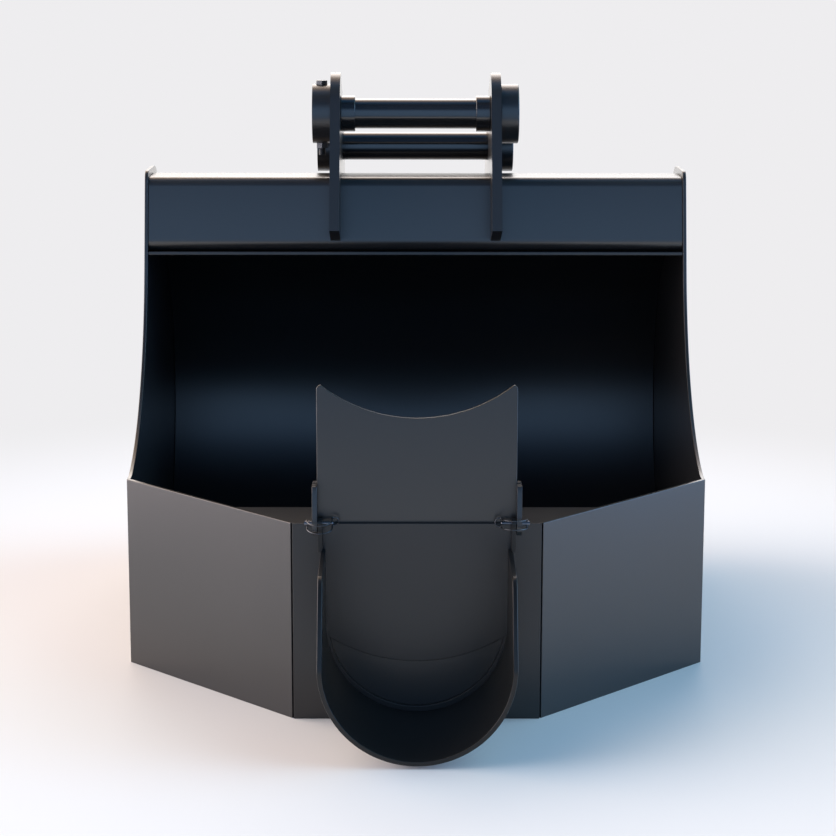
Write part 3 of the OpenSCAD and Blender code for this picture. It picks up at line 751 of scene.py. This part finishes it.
@dataclass
class Studio:
    """The camera, the floor and the world.

    The floor shows its own light and shadow near the bucket, and the backdrop's colour
    beyond fade_end.
    """

    camera_place: tuple[float, float, float] = (-0.01765, -3.99082, 1.22476)
    camera_turn: tuple[float, float, float] = (77.9200, -0.0958, -0.2835)
    focal_px: float = 2500.0
    sensor_mm: float = 36.0
    sight: float = 100.0
    backdrop: tuple[float, float, float] = BACKDROP
    floor_colour: tuple[float, float, float] = (0.87, 0.87, 0.87)
    floor_roughness: float = 0.9
    floor_half: float = 2.2
    fade_start: float = 0.85
    fade_end: float = 1.9
    shadow_lift: float = 0.05
    ambient_low: tuple[float, float, float] = (0.06, 0.09, 0.14)
    ambient_high: tuple[float, float, float] = (0.02, 0.04, 0.08)
    ambient_rise: float = 0.6
    backdrop_box: SoftBox = SoftBox((0.0, 1.0, 0.0), BACKDROP, 1.0, 20.0, 50.0)

    def build(self) -> None:
        """Sets the camera, the floor and the world."""
        self._camera()
        self._floor()
        self._world()
        bpy.context.scene.view_settings.view_transform = "Standard"

    def _camera(self) -> None:
        """Places the camera where the photograph was taken from."""
        data = bpy.data.cameras.new("camera")
        data.sensor_width = self.sensor_mm
        data.lens = self.focal_px / IMAGE_SIDE_PX * self.sensor_mm
        data.clip_end = self.sight
        camera = bpy.data.objects.new("camera", data)
        camera.location = self.camera_place
        camera.rotation_euler = [math.radians(a) for a in self.camera_turn]
        bpy.context.scene.collection.objects.link(camera)
        bpy.context.scene.camera = camera

    @staticmethod
    def _range(
        tree: bpy.types.NodeTree,
        value: bpy.types.NodeSocket,
        low: float,
        high: float,
        least: float = 0.0,
    ) -> bpy.types.NodeSocket:
        """Turns a value into a smooth step.

        Args:
            tree: the nodes to add to.
            value: the value.
            low: where the step starts to rise from least.
            high: where it reaches 1.
            least: its value up to low.

        Returns:
            The step.
        """
        node = tree.nodes.new("ShaderNodeMapRange")
        node.interpolation_type = "SMOOTHSTEP"
        node.inputs["From Min"].default_value = low
        node.inputs["From Max"].default_value = high
        node.inputs["To Min"].default_value = least
        tree.links.new(value, node.inputs["Value"])
        return node.outputs[0]

    @staticmethod
    def _join(
        tree: bpy.types.NodeTree,
        kind: str,
        operation: str,
        a: bpy.types.NodeSocket,
        b: bpy.types.NodeSocket,
    ) -> bpy.types.NodeSocket:
        """Joins two values by a Math node, or two colours by a VectorMath node.

        Args:
            tree: the nodes to add to.
            kind: Math or VectorMath.
            operation: what the node does with them.
            a: the first socket.
            b: the second socket.

        Returns:
            The result.
        """
        node = tree.nodes.new("ShaderNode" + kind)
        node.operation = operation
        tree.links.new(a, node.inputs[0])
        tree.links.new(b, node.inputs[1])
        return node.outputs[0]

    def _mirrored(self, tree: bpy.types.NodeTree) -> bpy.types.NodeSocket:
        """Gives 1 to rays that metal and paint mirror or glass lets through."""
        rays = tree.nodes.new("ShaderNodeLightPath").outputs
        return self._join(tree, "Math", "ADD", rays["Is Glossy Ray"], rays["Is Transmission Ray"])

    def _seen(self, tree: bpy.types.NodeTree) -> bpy.types.NodeSocket:
        """Gives 1 to the rays that show the backdrop: the camera's and the mirrored ones."""
        rays = tree.nodes.new("ShaderNodeLightPath").outputs
        return self._join(tree, "Math", "ADD", rays["Is Camera Ray"], self._mirrored(tree))

    def _floor(self) -> None:
        """Lays a pale floor that fades into the backdrop away from the bucket."""
        half = self.floor_half
        mesh = bpy.data.meshes.new("floor")
        mesh.from_pydata(
            [(-half, -half, 0.0), (half, -half, 0.0), (half, half, 0.0), (-half, half, 0.0)],
            [],
            [(0, 1, 2, 3)],
        )
        floor = new_object("floor", mesh)
        material = bpy.data.materials.new("pale_floor")
        material.use_nodes = True
        tree = material.node_tree
        shader = tree.nodes["Principled BSDF"]
        shader.inputs["Base Color"].default_value = (*self.floor_colour, 1.0)
        shader.inputs["Roughness"].default_value = self.floor_roughness
        shader.inputs["Specular IOR Level"].default_value = 0.0
        glow = tree.nodes.new("ShaderNodeEmission")
        glow.inputs["Color"].default_value = (*self.backdrop, 1.0)
        place = tree.nodes.new("ShaderNodeTexCoord")
        reach = tree.nodes.new("ShaderNodeVectorMath")
        reach.operation = "LENGTH"
        tree.links.new(place.outputs["Object"], reach.inputs[0])
        fade = self._range(
            tree, reach.outputs["Value"], self.fade_start, self.fade_end, self.shadow_lift
        )
        share = self._join(tree, "Math", "MULTIPLY", fade, self._seen(tree))
        mix = tree.nodes.new("ShaderNodeMixShader")
        tree.links.new(share, mix.inputs["Fac"])
        tree.links.new(shader.outputs[0], mix.inputs[1])
        tree.links.new(glow.outputs[0], mix.inputs[2])
        tree.links.new(mix.outputs[0], tree.nodes["Material Output"].inputs["Surface"])
        mesh.materials.append(material)

    def _glow(
        self, tree: bpy.types.NodeTree, direction: bpy.types.NodeSocket, box: SoftBox
    ) -> bpy.types.NodeSocket:
        """Returns one soft box's light in a direction.

        The light is the box's colour times a smooth step of the cosine between the direction
        and the aim, which is 1 inside the core and 0 beyond the reach.

        Args:
            tree: the world's nodes.
            direction: the direction looked in.
            box: the soft box.

        Returns:
            The colour of its light there.
        """
        turn = tree.nodes.new("ShaderNodeVectorMath")
        turn.operation = "DOT_PRODUCT"
        turn.inputs[1].default_value = Vector(box.aim).normalized()
        tree.links.new(direction, turn.inputs[0])
        fall = self._range(
            tree,
            turn.outputs["Value"],
            math.cos(math.radians(box.reach)),
            math.cos(math.radians(box.core)),
        )
        light = tree.nodes.new("ShaderNodeVectorMath")
        light.operation = "SCALE"
        light.inputs[0].default_value = [c * box.strength for c in box.colour]
        tree.links.new(fall, light.inputs["Scale"])
        return light.outputs[0]

    def _world(self) -> None:
        """Lights the bucket by soft boxes in a dark blue room with a pale backdrop.

        The camera sees the backdrop all round, and mirrored rays see it behind the bucket.
        """
        world = bpy.data.worlds.new("world")
        bpy.context.scene.world = world
        world.use_nodes = True
        tree = world.node_tree
        room = tree.nodes["Background"]
        direction = tree.nodes.new("ShaderNodeTexCoord").outputs["Generated"]
        split = tree.nodes.new("ShaderNodeSeparateXYZ")
        tree.links.new(direction, split.inputs[0])
        tone = tree.nodes.new("ShaderNodeMix")
        tone.data_type = "RGBA"
        tone.inputs["A"].default_value = (*self.ambient_low, 1.0)
        tone.inputs["B"].default_value = (*self.ambient_high, 1.0)
        rise = self._range(tree, split.outputs["Z"], 0.0, self.ambient_rise)
        tree.links.new(rise, tone.inputs["Factor"])
        total = tone.outputs["Result"]
        for box in SOFT_BOXES:
            glow = self._glow(tree, direction, box)
            total = self._join(tree, "VectorMath", "ADD", total, glow)
        wall = tree.nodes.new("ShaderNodeVectorMath")
        wall.operation = "SCALE"
        tree.links.new(self._glow(tree, direction, self.backdrop_box), wall.inputs[0])
        tree.links.new(self._mirrored(tree), wall.inputs["Scale"])
        lighter = self._join(tree, "VectorMath", "MAXIMUM", total, wall.outputs[0])
        tree.links.new(lighter, room.inputs["Color"])
        pale = tree.nodes.new("ShaderNodeBackground")
        pale.inputs["Color"].default_value = (*self.backdrop, 1.0)
        rays = tree.nodes.new("ShaderNodeLightPath")
        mix = tree.nodes.new("ShaderNodeMixShader")
        tree.links.new(rays.outputs["Is Camera Ray"], mix.inputs["Fac"])
        tree.links.new(room.outputs[0], mix.inputs[1])
        tree.links.new(pale.outputs[0], mix.inputs[2])
        tree.links.new(mix.outputs[0], tree.nodes["World Output"].inputs["Surface"])


def main() -> None:
    """Builds the studio and dresses every sub-assembly in order."""
    logging.basicConfig(level=logging.INFO, format="%(message)s")
    Studio().build()
    for assembly in (Bowl(), Hanger(), Gate(), Chute()):
        assembly.build()
        LOG.info("%s: %d new pieces", type(assembly).__name__, len(assembly.pieces))


if __name__ == "__main__":
    main()
